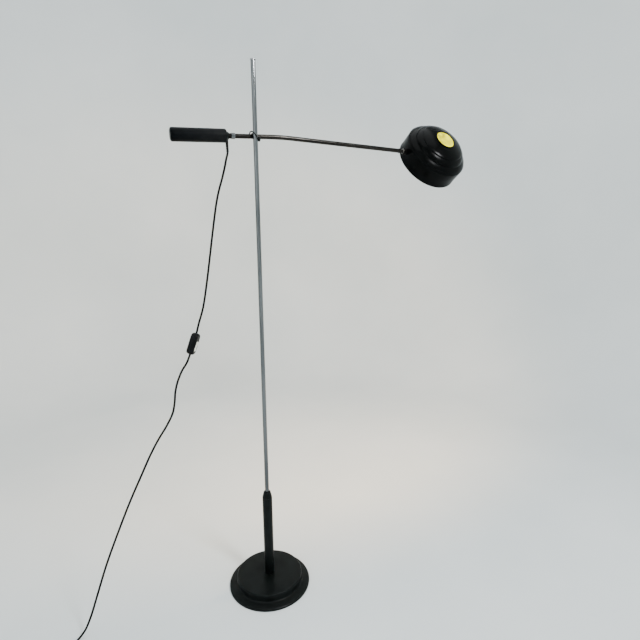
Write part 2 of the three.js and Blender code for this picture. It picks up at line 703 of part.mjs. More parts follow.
function buildLead() {
  const lead = new THREE.Group();
  const upper = [glandEnd(), ...vectors(UPPER_ROUTE), switchEnd(-GAP)];
  const upperPath = new THREE.CatmullRomCurve3(upper, false, 'centripetal');
  add(lead, 'cord_upper', tubeAlong(upperPath, LEAD_R, 0, 8, 30), blackRubber());

  const [centreX, centreY] = COIL_CENTRE;
  const coilOuter = COIL_MEAN_R + (COIL_COLUMNS / 2) * 2 * LEAD_R;
  const lower = [switchEnd(SWITCH_LENGTH + GAP), ...vectors(LOWER_ROUTE)];
  const lowerPath = new THREE.CatmullRomCurve3(lower, false, 'centripetal');
  add(lead, 'cord_lower', tubeAlong(lowerPath, LEAD_R, 0, 8, 46), blackRubber());

  const coilInner = COIL_MEAN_R - (COIL_COLUMNS / 2) * 2 * LEAD_R;
  const coilTop = COIL_Z + COIL_LAYERS * 2 * LEAD_R;
  const corner = 2.4;
  const coil = turned([
    ...arc(coilOuter - corner, COIL_Z + corner, corner, -90, 0, 2),
    ...arc(coilOuter - corner, coilTop - corner, corner, 0, 90, 2),
    ...arc(coilInner + corner, coilTop - corner, corner, 90, 180, 2),
    ...arc(coilInner + corner, COIL_Z + corner, corner, 180, 270, 2),
  ], 28);
  add(lead, 'cord_coil', coil.translate(centreX, centreY, 0), blackRubber());

  const tieOuter = block(coilOuter - coilInner + 3.2, 9, coilTop + 1.3);
  const tieHole = block(coilOuter - coilInner + 1.4, 12, coilTop - COIL_Z + 0.6);
  const tie = cut(
    tieOuter.translate(0, 0, (coilTop + 1.3) / 2),
    tieHole.translate(0, 0, (coilTop + COIL_Z) / 2),
  );
  add(lead, 'cord_tie', tie.translate(centreX + COIL_MEAN_R, centreY, 0), blackPlastic());

  const plugH = 13.7;
  const plugOutline = [
    [0, -6], [0, 6], [9, 13.5], [20, 17.4], [33, 17.6], [36, 16.6], [36, -16.6], [33, -17.6],
    [20, -17.4], [9, -13.5],
  ].map(([x, y]) => new THREE.Vector2(x, y));
  const [plugX, plugY] = PLUG_BACK;
  add(lead, 'plug_body', prism(plugOutline, plugH).translate(plugX, plugY, 0), blackRubber());
  for (const [name, side] of [['plug_pin_left', 1], ['plug_pin_right', -1]]) {
    const pin = rod(2, 0, 19, 12).rotateY(Math.PI / 2);
    add(lead, name, pin.translate(plugX + 36 + GAP, plugY + side * 9.3, plugH / 2), steel());
  }
  return lead;
}

// ---------- the whole lamp ----------
const lamp = new THREE.Group();
lamp.name = 'adjustable_arm_floor_lamp';
lamp.add(buildStand(), buildCarriage(), buildArm());
const [headRoot, headRoll] = headFrame();
buildLiner(headRoll);
headRoll.add(buildShade());
lamp.add(headRoot, buildLead());
const [switchRoot, switchBody] = switchFrame();
buildSwitch(switchBody);
lamp.add(switchRoot);

export default lamp;
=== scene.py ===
"""Adjustable arm floor lamp: the visual model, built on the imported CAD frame. Metres, +Z up."""
import math

import bmesh
import bpy
from mathutils import Matrix, Vector


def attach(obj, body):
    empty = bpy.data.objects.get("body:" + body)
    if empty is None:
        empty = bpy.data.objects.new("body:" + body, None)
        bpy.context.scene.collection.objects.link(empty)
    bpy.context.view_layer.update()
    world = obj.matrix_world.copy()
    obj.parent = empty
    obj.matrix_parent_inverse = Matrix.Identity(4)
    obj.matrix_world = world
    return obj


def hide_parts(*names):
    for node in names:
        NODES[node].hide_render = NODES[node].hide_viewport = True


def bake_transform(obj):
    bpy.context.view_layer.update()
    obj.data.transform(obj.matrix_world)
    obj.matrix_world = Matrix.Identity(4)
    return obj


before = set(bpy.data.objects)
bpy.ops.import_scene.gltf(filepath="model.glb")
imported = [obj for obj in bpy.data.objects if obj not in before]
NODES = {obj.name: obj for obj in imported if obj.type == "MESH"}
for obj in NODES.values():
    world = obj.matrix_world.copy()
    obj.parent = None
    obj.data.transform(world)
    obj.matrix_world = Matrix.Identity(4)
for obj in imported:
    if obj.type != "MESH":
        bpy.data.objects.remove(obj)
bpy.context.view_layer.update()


# ---------- where things are in the CAD frame: lengths in metres, turns in radians ----------
POLE_R = 0.0065
LEAD_R = 0.003
ARM_PIVOT = Vector((0.0, 0.018, 1.396))
ARM_RISE = 0.0428
ARM_R = 0.00635
ARM_WALL = 0.0012
ARM_BEND_R = 0.9
ARM_BEND = 0.0778
ARM_BEND_START = 0.08 - ARM_BEND_R * ARM_BEND / 2
ARM_LENGTH = 0.49
# where the lead leaves the grip, along the arm
EXIT_X = -0.0766
# the head's turn about the arm, and its tilt about the ball
HEAD_TURN = 0.953
HEAD_LEAN = 0.054
# from the ball to the shade's axis, and from the shade's rim up to the ball
SHADE_REACH = 0.118
BALL_ABOVE_RIM = 0.031
SWITCH_TOP = Vector((-0.1865, 0.018, 0.852))
SWITCH_LEAN = 0.346
SWITCH_YAW = -0.54
SWITCH_LENGTH = 0.063
ROCKER_PIVOT = (0.008, 0, -0.005)
ROCKER_TILT = 0.13
COIL_CENTRE = (-0.578, -0.088)
PLUG_BACK = (-0.540, -0.131, 0.00685)

ARM_FRAME = Matrix.Translation(ARM_PIVOT) @ Matrix.Rotation(-ARM_RISE, 4, "Y")


def arm_point(distance):
    """A point on the arm's axis in the arm's own frame."""
    turn = min(max((distance - ARM_BEND_START) / ARM_BEND_R, 0.0), ARM_BEND)
    before = min(distance, ARM_BEND_START)
    after = max(distance - ARM_BEND_START - ARM_BEND_R * ARM_BEND, 0.0)
    x = before + ARM_BEND_R * math.sin(turn) + after * math.cos(turn)
    z = -ARM_BEND_R * (1 - math.cos(turn)) - after * math.sin(turn)
    return Vector((x, 0.0, z))


ARM_END = ARM_FRAME @ Matrix.Translation(arm_point(ARM_LENGTH)) @ Matrix.Rotation(ARM_BEND, 4, "Y")
HEAD_ROLL = ARM_END @ Matrix.Rotation(HEAD_TURN, 4, "X")
SHADE_BALL = HEAD_ROLL @ Matrix.Rotation(HEAD_LEAN, 4, "Y")
SHADE_AXIS = SHADE_BALL @ Matrix.Translation((SHADE_REACH, 0, -BALL_ABOVE_RIM))
SWITCH_FRAME = (
    Matrix.Translation(SWITCH_TOP)
    @ Matrix.Rotation(SWITCH_LEAN, 4, "Y")
    @ Matrix.Translation((0, 0, -SWITCH_LENGTH / 2))
    @ Matrix.Rotation(SWITCH_YAW, 4, "Z")
)
ALONG_X = Matrix.Rotation(math.pi / 2, 4, "Y")


# ---------- camera ----------
def make_camera():
    """A camera 1.13 m up, in front of the lamp and to its left."""
    data = bpy.data.cameras.new("camera")
    data.lens = 25.84
    data.sensor_width = 36
    camera = bpy.data.objects.new("camera", data)
    right = Vector((0.92049, -0.39066, -0.00903))
    up = Vector((0.07999, 0.16576, 0.98292))
    forward = Vector((0.38249, 0.90549, -0.18383))
    turn = Matrix((right, up, -forward)).transposed().to_4x4()
    camera.matrix_world = Matrix.Translation((-0.3607, -1.2999, 1.1268)) @ turn
    bpy.context.collection.objects.link(camera)
    bpy.context.scene.camera = camera


# ---------- node materials ----------
class Shade:
    """A material with a Principled shader and short calls for its nodes."""

    def __init__(self, name):
        self.mat = bpy.data.materials.new(name)
        self.mat.use_nodes = True
        self.tree = self.mat.node_tree
        self.bsdf = self.tree.nodes["Principled BSDF"]
        self.coords = self.tree.nodes.new("ShaderNodeTexCoord").outputs["Object"]

    def set(self, **values):
        for key, value in values.items():
            self.bsdf.inputs[key.replace("_", " ")].default_value = value
        return self

    def node(self, kind, inputs=(), **settings):
        node = self.tree.nodes.new(kind)
        for key, value in settings.items():
            setattr(node, key, value)
        for key, value in dict(inputs).items():
            if isinstance(value, bpy.types.NodeSocket):
                self.tree.links.new(value, node.inputs[key])
            else:
                node.inputs[key].default_value = value
        return node

    def stretched(self, scale):
        mapping = self.node("ShaderNodeMapping", {"Vector": self.coords, "Scale": scale})
        return mapping.outputs["Vector"]

    def noise(self, scale, detail=4.0, stretch=(1, 1, 1), roughness=0.55):
        inputs = {"Vector": self.stretched(stretch), "Scale": scale, "Detail": detail, "Roughness": roughness}
        return self.node("ShaderNodeTexNoise", inputs).outputs["Fac"]

    def ramp(self, factor, stops):
        node = self.node("ShaderNodeValToRGB", {"Fac": factor})
        elements = node.color_ramp.elements
        while len(elements) < len(stops):
            elements.new(0.5)
        for element, (place, colour) in zip(elements, stops):
            element.position = place
            element.color = (*colour, 1)
        return node.outputs["Color"]

    def spread(self, factor, low, high, start=0.3, end=0.7):
        inputs = {"Value": factor, "From Min": start, "From Max": end, "To Min": low, "To Max": high}
        return self.node("ShaderNodeMapRange", inputs).outputs["Result"]

    def mixed(self, factor, first, second):
        """A mix of two colours. The node's sockets share names, so they are taken by number."""
        return self.node("ShaderNodeMix", {0: factor, 6: first, 7: second}, data_type="RGBA").outputs[2]

    def link(self, **sockets):
        for key, socket in sockets.items():
            self.tree.links.new(socket, self.bsdf.inputs[key.replace("_", " ")])
        return self

    def bump(self, height, strength, distance):
        inputs = {"Height": height, "Strength": strength, "Distance": distance}
        node = self.node("ShaderNodeBump", inputs)
        self.tree.links.new(node.outputs["Normal"], self.bsdf.inputs["Normal"])
        return self

    def worn(self, colour, edge, start=0.53, end=0.6):
        """Colour, lightened along sharp outward edges and mottled by noise."""
        point = self.node("ShaderNodeNewGeometry").outputs["Pointiness"]
        along = self.spread(point, 0.0, 1.0, start, end)
        patchy = self.node("ShaderNodeMath", {0: along, 1: self.noise(90.0, 3.0)}, operation="MULTIPLY")
        return self.mixed(patchy.outputs[0], colour, (*edge, 1))


def metal(name, dark, light, rough, stretch=(1, 1, 1), scale=60.0, scratch=0.06):
    s = Shade(name).set(Metallic=1.0)
    broad = s.noise(scale, 5.0, stretch)
    fine = s.noise(900.0, 2.0, stretch)
    s.link(Base_Color=s.ramp(broad, [(0.3, dark), (0.7, light)]))
    s.link(Roughness=s.spread(fine, rough[0], rough[1]))
    return s.bump(fine, scratch, 0.0002).mat


def moulded(name, dark, light, rough, grain=1800.0, strength=0.12, edge=None, specular=0.5):
    s = Shade(name).set(Specular_IOR_Level=specular)
    broad = s.noise(24.0, 5.0)
    colour = s.ramp(broad, [(0.3, dark), (0.7, light)])
    if edge:
        colour = s.worn(colour, edge)
    s.link(Base_Color=colour)
    s.link(Roughness=s.spread(s.noise(70.0, 6.0), rough[0], rough[1]))
    return s.bump(s.noise(grain, 2.0), strength, 0.0003).mat


MAT = {
    "chrome": metal("chrome_plate", (0.085, 0.088, 0.092), (0.20, 0.205, 0.21), (0.06, 0.16), (1, 1, 0.06)),
    "steel": metal("zinc_steel", (0.30, 0.31, 0.32), (0.48, 0.49, 0.50), (0.24, 0.42), scale=140.0),
    "nickel": metal("dark_nickel_tube", (0.010, 0.0092, 0.0084), (0.028, 0.0255, 0.023), (0.12, 0.26), (0.06, 1, 1)),
    "satin": moulded(
        "satin_black_coat", (0.0015, 0.0023, 0.0021), (0.0040, 0.0053, 0.0050), (0.28, 0.42), 1100.0, 0.16,
        (0.022, 0.024, 0.023), specular=0.09,
    ),
    "grip": moulded(
        "grip_black_coat", (0.0008, 0.0012, 0.0016), (0.0021, 0.0029, 0.0037), (0.28, 0.42), 1500.0, 0.2,
        (0.014, 0.014, 0.014), specular=0.045,
    ),
    "enamel": moulded(
        "gloss_black_enamel", (0.0004, 0.0006, 0.0005), (0.0011, 0.0014, 0.0013), (0.18, 0.26), 320.0, 0.03,
        (0.008, 0.008, 0.008), specular=0.055,
    ),
    "plastic": moulded(
        "moulded_black", (0.0016, 0.0017, 0.0018), (0.0040, 0.0042, 0.0044), (0.32, 0.5), 2400.0, 0.18,
        specular=0.10,
    ),
    "rubber": moulded(
        "lead_black_pvc", (0.0014, 0.0014, 0.0014), (0.0036, 0.0036, 0.0036), (0.34, 0.52), 1500.0, 0.08,
        specular=0.10,
    ),
    "cream": moulded("cream_rocker", (0.66, 0.625, 0.53), (0.78, 0.75, 0.66), (0.24, 0.36), 1600.0, 0.05),
    "nylon": moulded("natural_nylon", (0.58, 0.56, 0.5), (0.7, 0.68, 0.62), (0.4, 0.55)),
    "iron": moulded("cast_iron", (0.02, 0.02, 0.021), (0.05, 0.05, 0.052), (0.6, 0.8), 500.0, 0.5),
    "white": moulded("white_enamel_inside", (0.74, 0.72, 0.67), (0.82, 0.80, 0.75), (0.28, 0.42), 420.0, 0.04),
}


def felt_material():
    s = Shade("pressed_felt").set(Sheen_Weight=0.4, Sheen_Roughness=0.5, Roughness=0.95)
    hair = s.noise(1400.0, 6.0, (1, 1, 0.4), 0.7)
    s.link(Base_Color=s.ramp(hair, [(0.3, (0.008, 0.008, 0.009)), (0.75, (0.035, 0.035, 0.038))]))
    return s.bump(hair, 0.6, 0.0006).mat


# An emissive material: on the bulb it is the lamp itself, on the vent glass it is a painted glow standing in for the
# bulb's light behind it.
def glow_material(name, dark, light, strength, rough, body):
    s = Shade(name).set(Roughness=rough, Emission_Strength=strength, Specular_IOR_Level=0.12)
    cloud = s.noise(60.0, 3.0)
    s.link(Emission_Color=s.ramp(cloud, [(0.3, dark), (0.7, light)]))
    s.link(Base_Color=s.ramp(cloud, [(0.3, body), (0.7, light)]))
    return s.bump(s.noise(1200.0, 2.0), 0.06, 0.0002).mat


MAT["felt"] = felt_material()
# The vent glass is no lamp: its emission is a painted glow, the bulb's light painted into the glass.
MAT["vent"] = glow_material("vent_glass_painted_glow", (0.85, 0.77, 0.0), (0.95, 0.87, 0.0), 1.1, 0.45, (0.04, 0.03, 0.0))
MAT["opal"] = glow_material("lit_opal_bulb", (1.0, 0.70, 0.36), (1.0, 0.78, 0.46), 6.0, 0.3, (0.9, 0.7, 0.5))


# ---------- mesh helpers ----------
def baked(work, name):
    """The bmesh as a new mesh; the bmesh is freed."""
    mesh = bpy.data.meshes.new(name)
    work.to_mesh(mesh)
    work.free()
    return mesh


def bridge(work, low, high):
    """A closed band of faces between two rings with the same number of points."""
    count = len(low)
    for k in range(count):
        n = (k + 1) % count
        work.faces.new([low[k], low[n], high[n], high[k]])


def place_mesh(name, mesh, material, frame_matrix=None, sharp=35.0):
    """A finished piece: its mesh in the row frame, outward normals, smooth but for its sharp edges."""
    work = bmesh.new()
    work.from_mesh(mesh)
    bmesh.ops.remove_doubles(work, verts=work.verts, dist=1e-6)
    bmesh.ops.recalc_face_normals(work, faces=work.faces)
    if frame_matrix is not None:
        bmesh.ops.transform(work, matrix=frame_matrix, verts=work.verts)
    limit = math.radians(sharp)
    for face in work.faces:
        face.smooth = True
    for edge in work.edges:
        edge.smooth = len(edge.link_faces) == 2 and edge.calc_face_angle(0.0) < limit
    work.to_mesh(mesh)
    work.free()
    for item in material if isinstance(material, tuple) else (material,):
        mesh.materials.append(MAT[item])
    piece = bpy.data.objects.new(name, mesh)
    bpy.context.collection.objects.link(piece)
    return piece


def finish_piece(piece, body, replaced=()):
    """Hides the CAD nodes that a piece stands for, and attaches it to the body that it rides on."""
    if replaced:
        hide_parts(*replaced)
    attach(piece, body)
    return piece


def lathe_mesh(name, profile, segments, closed=True, second=None):
    """A turned mesh about Z. Points on the axis close it, and second(r0, z0, r1, z1) picks material 1."""
    work = bmesh.new()
    rings = []
    for r, z in profile:
        if r < 1e-7:
            rings.append([work.verts.new((0, 0, z))] * segments)
        else:
            spin = [2 * math.pi * k / segments for k in range(segments)]
            rings.append([work.verts.new((r * math.cos(a), r * math.sin(a), z)) for a in spin])
    pairs = list(zip(rings, rings[1:], profile, profile[1:]))
    if closed and profile[0][0] > 1e-7 and profile[-1][0] > 1e-7:
        pairs.append((rings[-1], rings[0], profile[-1], profile[0]))
    for low, high, p, q in pairs:
        for k in range(segments):
            n = (k + 1) % segments
            corners = [low[k], low[n], high[n], high[k]]
            corners = [v for i, v in enumerate(corners) if v not in corners[:i]]
            if len(corners) > 2:
                face = work.faces.new(corners)
                face.material_index = 1 if second and second(*p, *q) else 0
    return baked(work, name)


def rounded(profile, radius, steps=4, keep=()):
    """The profile with its corners rounded, apart from those on the axis and those in keep."""
    count, out = len(profile), []
    on_axis = profile[0][0] < 1e-7 or profile[-1][0] < 1e-7
    for i, (r, z) in enumerate(profile):
        end = on_axis and i in (0, count - 1)
        before, after = Vector(profile[i - 1]), Vector(profile[(i + 1) % count])
        here = Vector((r, z))
        if end or i in keep or r < 1e-7:
            out.append((r, z))
            continue
        a, b = before - here, after - here
        size = min(radius, a.length * 0.45, b.length * 0.45)
        start, stop = here + a.normalized() * size, here + b.normalized() * size
        for k in range(steps + 1):
            t = k / steps
            out.append(tuple(start * (1 - t) ** 2 + here * 2 * t * (1 - t) + stop * t * t))
    return out


def arc(r, z, radius, start, end, steps):
    turn = [math.radians(start + (end - start) * k / steps) for k in range(steps + 1)]
    return [(r + radius * math.cos(a), z + radius * math.sin(a)) for a in turn]


def turned(name, profile, material, body, slot, replaced=(), at=None, segments=96, **options):
    """A finished piece turned about Z, put in place by the matrix at."""
    sharp = options.pop("sharp", 35.0)
    mesh = lathe_mesh(name, profile, segments, **options)
    return finish_piece(place_mesh(name, mesh, material, at, sharp), body, replaced)


def smooth_line(points, step):
    """A centripetal curve through the points, resampled at an even step."""
    points = [Vector(p) for p in points]
    ends = [points[0] * 2 - points[1]] + points + [points[-1] * 2 - points[-2]]
    dense = []
    for p0, p1, p2, p3 in zip(ends, ends[1:], ends[2:], ends[3:]):
        t1 = max((p1 - p0).length ** 0.5, 1e-6)
        t2 = t1 + max((p2 - p1).length ** 0.5, 1e-6)
        t3 = t2 + max((p3 - p2).length ** 0.5, 1e-6)
        for k in range(16):
            t = t1 + (t2 - t1) * k / 16
            a1 = p0 * ((t1 - t) / t1) + p1 * (t / t1)
            a2 = p1 * ((t2 - t) / (t2 - t1)) + p2 * ((t - t1) / (t2 - t1))
            a3 = p2 * ((t3 - t) / (t3 - t2)) + p3 * ((t - t2) / (t3 - t2))
            b1 = a1 * ((t2 - t) / t2) + a2 * (t / t2)
            b2 = a2 * ((t3 - t) / (t3 - t1)) + a3 * ((t - t1) / (t3 - t1))
            dense.append(b1 * ((t2 - t) / (t2 - t1)) + b2 * ((t - t1) / (t2 - t1)))
    dense.append(points[-1])
    along = [0.0]
    for a, b in zip(dense, dense[1:]):
        along.append(along[-1] + (b - a).length)
    count = max(2, round(along[-1] / step))
    out, i = [], 0
    for k in range(count + 1):
        want = along[-1] * k / count
        while i < len(along) - 2 and along[i + 1] < want:
            i += 1
        share = (want - along[i]) / max(along[i + 1] - along[i], 1e-9)
        out.append(dense[i].lerp(dense[i + 1], share))
    return out


def tube_mesh(name, line, radius, sides=16, inner=0.0):
    """A round tube round a line of points, with a frame carried along it and closed ends."""
    work = bmesh.new()
    tangents = []
    for i in range(len(line)):
        tangents.append((line[min(i + 1, len(line) - 1)] - line[max(i - 1, 0)]).normalized())
    skins = []
    for size in [radius] + ([inner] if inner else []):
        rings = []
        normal = tangents[0].orthogonal().normalized()
        for point, tangent in zip(line, tangents):
            normal = (normal - tangent * normal.dot(tangent)).normalized()
            side = tangent.cross(normal)
            spin = [2 * math.pi * k / sides for k in range(sides)]
            rings.append([work.verts.new(point + (normal * math.cos(a) + side * math.sin(a)) * size) for a in spin])
        for low, high in zip(rings, rings[1:]):
            bridge(work, low, high)
        skins.append(rings)
    for end in (0, -1):
        if inner:
            bridge(work, skins[0][end], skins[1][end])
        else:
            work.faces.new(skins[0][end])
    return baked(work, name)


def bevelled_block(name, size, centre, bevel, steps=3):
    """A block with rounded edges, as a mesh in its own frame."""
    work = bmesh.new()
    bmesh.ops.create_cube(work, size=1.0)
    bmesh.ops.scale(work, vec=size, verts=work.verts)
    bmesh.ops.translate(work, vec=centre, verts=work.verts)
    bmesh.ops.bevel(work, geom=work.edges[:], offset=bevel, segments=steps, profile=0.5, affect="EDGES")
    return baked(work, name)


def joined(name, meshes):
    work = bmesh.new()
    for mesh in meshes:
        work.from_mesh(mesh)
    return baked(work, name)


# ---------- the mains lead ----------
UPPER_ROUTE = [
    (-0.080, 0.018, 1.330), (-0.0848, 0.018, 1.310), (-0.093, 0.018, 1.281), (-0.103, 0.018, 1.250),
    (-0.112, 0.018, 1.215), (-0.124, 0.018, 1.150), (-0.137, 0.018, 1.072), (-0.151, 0.018, 0.990),
    (-0.165, 0.018, 0.922), (-0.178, 0.018, 0.882),
]
LOWER_ROUTE = [
    (-0.219, 0.018, 0.768), (-0.233, 0.018, 0.747), (-0.246, 0.018, 0.719), (-0.255, 0.018, 0.688),
    (-0.2595, 0.018, 0.655), (-0.267, 0.017, 0.624), (-0.287, 0.015, 0.588), (-0.310, 0.013, 0.555),
    (-0.334, 0.011, 0.515), (-0.366, 0.009, 0.452), (-0.400, 0.008, 0.383), (-0.438, 0.008, 0.297),
    (-0.476, 0.008, 0.205), (-0.507, 0.008, 0.118), (-0.531, 0.007, 0.052), (-0.549, 0.003, 0.018),
    (-0.570, -0.011, 0.005), (-0.589, -0.028, 0.0038), (-0.603, -0.046, 0.0045), (-0.613, -0.066, 0.0046),
]
PLUG_ROUTE = [
    (-0.566, -0.1288, 0.0098), (-0.555, -0.1302, 0.0080), (-0.546, -0.1309, 0.0071), (-0.538, -0.131, 0.00685),
]


def ease(t):
    t = min(max(t, 0.0), 1.0)
    return t * t * (3 - 2 * t)


def coil_points():
    """Five and a quarter turns, three across below and three above, each a lead's width from the next."""
    wide, middle, narrow = 0.040, 0.034, 0.028
    low, high = 0.0046, 0.0106
    # for each turn: radius before and after its change, height before and after, and where each change is
    turns = [
        (wide, middle, 0.75, 1.0, low, low),
        (middle, narrow, 0.75, 1.0, low, low),
        (narrow, narrow, 0.0, 1.0, low, high),
        (narrow, middle, 0.25, 0.5, high, high),
        (middle, wide, 0.25, 0.5, high, high),
    ]
    steps, out = 40, []
    for r0, r1, start, end, z0, z1 in turns:
        for k in range(steps):
            t = k / steps
            radius = r0 + (r1 - r0) * ease((t - start) / (end - start))
            height = z0 + (z1 - z0) * ease((t - 0.5) / 0.25)
            angle = math.pi + 2 * math.pi * t
            out.append((COIL_CENTRE[0] + radius * math.cos(angle), COIL_CENTRE[1] + radius * math.sin(angle), height))
    for k in range(11):
        angle = math.pi + math.pi / 2 * k / 10
        out.append((COIL_CENTRE[0] + wide * math.cos(angle), COIL_CENTRE[1] + wide * math.sin(angle), high))
    return out


def ribbed_relief():
    """The tapered strain relief under the grip, with its ring grooves."""
    profile = [(0.00305, -0.042), (0.0035, -0.0419), (0.0036, -0.0412)]
    for k in range(7):
        z = -0.040 + k * 0.0036
        r = 0.00355 + 0.00009 * k
        profile += [(r, z), (r, z + 0.0021), (r - 0.00045, z + 0.0025), (r - 0.00045, z + 0.0032)]
    profile += [(0.0041, -0.0146), (0.0041, -0.0084), (0.00305, -0.0083)]
    return turned(
        "lead_relief", profile, "rubber", "arm", "black_rubber", ("cord_gland",),
        ARM_FRAME @ Matrix.Translation((EXIT_X, 0, 0)), 48,
    )


def make_plug():
    """A flat moulded plug with ribs to grip on its upper face, and its sleeved pins."""
    work = bmesh.new()
    half = [(0.0, 0.0052), (0.004, 0.0058), (0.009, 0.0125), (0.014, 0.0156), (0.020, 0.0171), (0.033, 0.0174),
            (0.0358, 0.0164)]
    outline = half + [(x, -y) for x, y in reversed(half)]
    levels = [(0.0, 0.90), (0.0012, 0.975), (0.003, 1.0), (0.0107, 1.0), (0.0125, 0.975), (0.0137, 0.90)]
    rings = []
    for z, scale in levels:
        ring = []
        for x, y in outline:
            ring.append(work.verts.new((0.018 + (x - 0.018) * (0.5 + scale / 2), y * scale, z)))
        rings.append(ring)
    for low, high in zip(rings, rings[1:]):
        bridge(work, low, high)
    work.faces.new(rings[0])
    work.faces.new(rings[-1])
    body = baked(work, "plug_shell_body")
    rib_height = 0.0133
    ribs = [
        bevelled_block("rib", (0.0012, 0.016 - 0.001 * k, 0.0006), (0.012 + 0.003 * k, 0, rib_height), 0.00025, 1)
        for k in range(5)
    ]
    at = Matrix.Translation((PLUG_BACK[0], PLUG_BACK[1], 0))
    shell = place_mesh("plug_shell", joined("plug_shell", [body, *ribs]), "rubber", at, 28)
    finish_piece(shell, "lead", ("plug_body",))
    pieces = [shell]
    for name, side in (("left", 1), ("right", -1)):
        tip = [(0, 0.019), (0.0009, 0.0189), (0.0017, 0.0183), (0.002, 0.0172), (0.002, 0.0101)]
        sleeve = [(0.0019, 0.01), (0.0019, 0.0003), (0, 0.0003)]
        sleeve_end = 0.01
        spot = Matrix.Translation((PLUG_BACK[0] + 0.036, PLUG_BACK[1] + side * 0.0093, PLUG_BACK[2])) @ ALONG_X
        pin = turned(
            f"plug_pin_{name}_fine", list(reversed(tip + sleeve)), ("steel", "plastic"), "lead", "bright_steel",
            (f"plug_pin_{name}",), spot, 32, second=lambda r0, z0, r1, z1: max(z0, z1) <= sleeve_end + 1e-6,
        )
        pieces.append(pin)
    return pieces


def pill(length, width, radius, steps=8):
    corners = [(1, 1, 0), (-1, 1, 90), (-1, -1, 180), (1, -1, 270)]
    out = []
    for sx, sy, start in corners:
        out += arc(sx * (length / 2 - radius), sy * (width / 2 - radius), radius, start, start + 90, steps)
    return out


def stacked(name, outline, levels, hole=None):
    """A moulding with a rounded outline: levels of (height, inset), and an open window through its top."""
    work = bmesh.new()
    rings = []
    for z, inset in levels:
        ring = []
        for x, y in outline:
            reach = math.hypot(x, y)
            ring.append(work.verts.new((x * (1 - inset / reach), y * (1 - inset / reach), z)))
        rings.append(ring)
    for low, high in zip(rings, rings[1:]):
        bridge(work, low, high)
    work.faces.new(rings[0])
    if hole is None:
        work.faces.new(rings[-1])
    else:
        (hx, hy), (wx, wy), depth = hole
        frame_ring = []
        for x, y in outline:
            reach = max(abs(x) / wx, abs(y) / wy)
            frame_ring.append((hx + max(-wx, min(wx, x / reach)), hy + max(-wy, min(wy, y / reach))))
        top = [work.verts.new((x, y, levels[-1][0])) for x, y in frame_ring]
        deep = [work.verts.new((x, y, levels[-1][0] - depth)) for x, y in frame_ring]
        bridge(work, rings[-1], top)
        bridge(work, top, deep)
        work.faces.new(deep)
    return baked(work, name)


def make_switch():
    """The inline rocker switch: a split black housing, raised at both ends, round a cream rocker."""
    upright = SWITCH_FRAME @ ALONG_X
    outline = pill(SWITCH_LENGTH, 0.025, 0.0105)
    cover = stacked(
        "switch_top", outline,
        [(-0.0012, 0.0), (0.004, 0.0), (0.0072, 0.0006), (0.0092, 0.002), (0.0102, 0.004), (0.0105, 0.0062)],
        ((0.005, 0.0), (0.0148, 0.0064), 0.0085),
    )
    base = stacked(
        "switch_bottom", outline,
        [(-0.0105, 0.005), (-0.0102, 0.003), (-0.0092, 0.0014), (-0.007, 0.0004), (-0.0045, 0.0), (-0.0015, 0.0)],
    )
    pieces = [
        finish_piece(
            place_mesh("switch_top", cover, "plastic", upright, 40), "carriage",
            ("switch_cover", "switch_contacts"),
        ),
        finish_piece(
            place_mesh("switch_bottom", base, "plastic", upright, 40), "carriage",
            ("switch_base", "switch_screw_1", "switch_screw_2"),
        ),
    ]
    work = bmesh.new()
    side = [
        (-0.014, -0.0015), (0.014, -0.0015), (0.014, 0.0046), (0.0118, 0.00435), (0.0075, 0.0036), (0.0035, 0.0031),
        (0.0, 0.003), (-0.0035, 0.0031), (-0.0075, 0.0036), (-0.0118, 0.00435), (-0.014, 0.0046),
    ]
    left = [work.verts.new((x, -0.006, z)) for x, z in side]
    right = [work.verts.new((x, 0.006, z)) for x, z in side]
    bridge(work, left, right)
    work.faces.new(left)
    work.faces.new(list(reversed(right)))
    bmesh.ops.recalc_face_normals(work, faces=work.faces)
    corner_angle = 0.5
    sharp = [e for e in work.edges if e.calc_face_angle(0.0) > corner_angle]
    bmesh.ops.bevel(work, geom=sharp, offset=0.0006, segments=3, profile=0.5, affect="EDGES")
    mesh = baked(work, "rocker_key")
    at = SWITCH_FRAME @ Matrix.Translation(ROCKER_PIVOT) @ ALONG_X @ Matrix.Rotation(ROCKER_TILT, 4, "Y")
    key = finish_piece(place_mesh("rocker_key", mesh, "cream", at, 40), "rocker", ("switch_rocker",))
    return pieces + [key]


def make_lead():
    relief = ribbed_relief()
    plug = make_plug()
    switch = make_switch()
    down = ARM_FRAME.to_3x3() @ Vector((0, 0, -1))
    exit_point = ARM_FRAME @ Vector((EXIT_X, 0, -0.0084))
    straight = [exit_point + down * d for d in (-0.004, 0.004, 0.014, 0.024, 0.0345)]
    switch_down = Vector((-math.sin(SWITCH_LEAN), 0, -math.cos(SWITCH_LEAN)))
    into = SWITCH_TOP + switch_down * 0.004
    upper = smooth_line([*straight, *UPPER_ROUTE, into], 0.004)
    upper_piece = place_mesh("lead_upper", tube_mesh("lead_upper", upper, LEAD_R, 20), "rubber", None, 60)
    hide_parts("cord_upper")
    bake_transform(upper_piece)

    out_of = SWITCH_TOP + switch_down * (SWITCH_LENGTH - 0.004)
    lower = smooth_line([out_of, *LOWER_ROUTE, *coil_points(), *PLUG_ROUTE], 0.004)
    lower_piece = place_mesh("lead_lower", tube_mesh("lead_lower", lower, LEAD_R, 20), "rubber", None, 60)
    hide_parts("cord_lower", "cord_coil")
    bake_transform(lower_piece)
    tie = make_tie()


